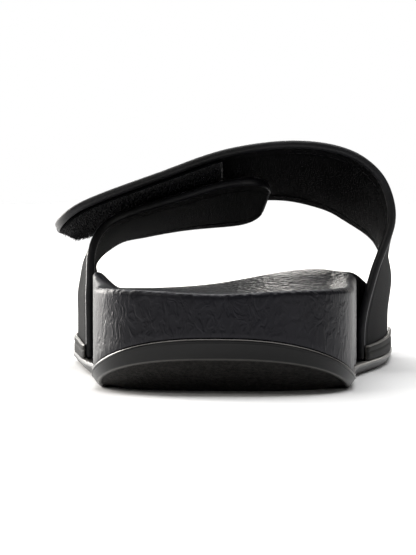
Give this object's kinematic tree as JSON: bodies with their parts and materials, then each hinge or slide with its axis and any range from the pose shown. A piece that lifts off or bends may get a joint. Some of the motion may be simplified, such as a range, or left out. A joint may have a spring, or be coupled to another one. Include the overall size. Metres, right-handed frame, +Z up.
{
  "type": "slide sandal",
  "caption": "Left-foot slide sandal with a moulded footbed, a contour-tread outsole and a two-piece hook-and-loop strap over the instep",
  "frame": {"origin": "on the floor plane, on the flat tread under the middle of the heel, 60 mm forward of the heel's back", "axes": "+X to the medial side of the left foot, +Y from heel to toe, +Z up"},
  "size_m": [0.1169, 0.272, 0.0773],
  "materials": {
    "outsole": "moulded, satin",
    "footbed": "moulded foam with a fine leather-like grain",
    "strap": "synthetic, matt",
    "tape": "hook and loop",
    "rand": "satin"
  },
  "bodies": {
    "root": {"outsole": "outsole", "footbed": "footbed", "strap_outer": "strap", "strap_under": "strap", "hook_tape": "tape", "loop_tape": "tape", "rand_medial": "rand", "rand_lateral": "rand"}
  },
  "joints": []
}
